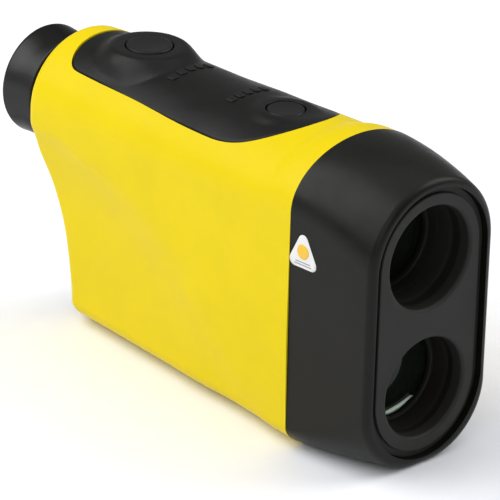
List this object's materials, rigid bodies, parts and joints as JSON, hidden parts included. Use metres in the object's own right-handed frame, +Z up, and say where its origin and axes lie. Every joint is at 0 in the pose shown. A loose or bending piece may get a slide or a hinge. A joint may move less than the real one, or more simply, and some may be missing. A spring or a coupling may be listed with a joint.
{
  "type": "laser rangefinder",
  "caption": "Handheld laser distance meter: monocular with rear eyepiece, front objective and receiver wells, press buttons on top, diopter ring, side display and hinged battery door.",
  "frame": {"origin": "on the flat underside, midway along the length between the front rim and the eyecup's rim, in the middle plane of the body", "axes": "+Z up with the instrument upright, -Y towards the target (the lens end), +Y towards the user's eye, +X to the user's left"},
  "size_m": [0.0427, 0.13, 0.0713],
  "materials": {
    "body_yellow": "satin rubbery coat",
    "nose_black": "satin",
    "plate_grey": "fine matt",
    "panel_black": "satin",
    "key_black": "satin",
    "switch_black": "semi-gloss",
    "board_green": "solder mask",
    "screw_steel": "satin",
    "frame_alloy": "cast",
    "label_white": "printed film",
    "barrel_black": "black anodised",
    "lens_coated": "coated",
    "lens_clear": "polished",
    "holder_black": "matt",
    "lens_receiver": "coated",
    "contact_brass": "plated",
    "shield_steel": "tinned",
    "prism_glass": "polished",
    "laser_brass": "machined",
    "display_glass": "clear acrylic",
    "ring_black": "satin",
    "rubber_black": "matt",
    "battery_wrap": "printed film",
    "spring_steel": "plated",
    "door_black": "satin",
    "lcd_grey": "matt polariser"
  },
  "bodies": {
    "casing": {"main_housing": "body_yellow", "nose_cover": "nose_black", "lens_faceplate": "plate_grey", "top_cover": "panel_black", "measure_switch": "switch_black", "mode_switch": "switch_black", "switch_board": "board_green", "switch_board_screws": "screw_steel", "telescope_frame": "frame_alloy", "frame_screws": "screw_steel", "nose_screws": "screw_steel", "laser_label": "label_white", "objective_barrel": "barrel_black", "objective_retainer": "barrel_black", "objective_crown_lens": "lens_coated", "objective_flint_lens": "lens_clear", "receiver_barrel": "holder_black", "receiver_retainer": "barrel_black", "receiver_lens": "lens_receiver", "photodiode": "contact_brass", "receiver_board": "board_green", "receiver_shield": "shield_steel", "beam_splitter_prism": "prism_glass", "roof_prism": "prism_glass", "prism_housing": "frame_alloy", "laser_module": "laser_brass", "reticle_frame": "holder_black", "reticle_display": "display_glass", "eyepiece_tube": "barrel_black", "main_board": "board_green", "board_chips": "switch_black", "main_board_screws": "screw_steel", "battery": "battery_wrap", "battery_holder": "holder_black", "battery_spring": "spring_steel", "hinge_pin": "screw_steel", "display_window": "display_glass", "display_panel": "lcd_grey", "display_tray": "holder_black"},
    "measure_key": {"measure_button": "key_black"},
    "mode_key": {"mode_button": "key_black"},
    "diopter": {"diopter_ring": "ring_black", "eyecup": "rubber_black"},
    "eye_lens_cell": {"eyepiece_cell": "barrel_black", "field_lens": "lens_clear", "eye_lens": "lens_coated"},
    "door": {"battery_door": "door_black", "door_contact": "contact_brass"}
  },
  "joints": [
    {"name": "measure_button_press", "type": "slide", "parent": "casing", "child": "measure_key", "axis": [0, 0, -1], "range_m": [0, 0.0008], "stiffness_N_per_m": 1500},
    {"name": "mode_button_press", "type": "slide", "parent": "casing", "child": "mode_key", "axis": [0, 0, -1], "range_m": [0, 0.0008], "stiffness_N_per_m": 1500},
    {"name": "diopter_turn", "type": "hinge", "parent": "casing", "child": "diopter", "pos_m": [0, 0.055, 0.0507], "axis": [0, 1, 0], "range_deg": [-140, 140]},
    {"name": "eyepiece_focus", "type": "slide", "parent": "casing", "child": "eye_lens_cell", "axis": [0, 1, 0], "range_m": [-0.00125, 0.00125]},
    {"name": "battery_door_hinge", "type": "hinge", "parent": "casing", "child": "door", "pos_m": [0, 0.0416, 0.0034], "axis": [-1, 0, 0], "range_deg": [0, 90]}
  ],
  "couplings": [
    {"joint": "eyepiece_focus", "follows": "diopter_turn", "m_per_rad": 0.0005}
  ]
}
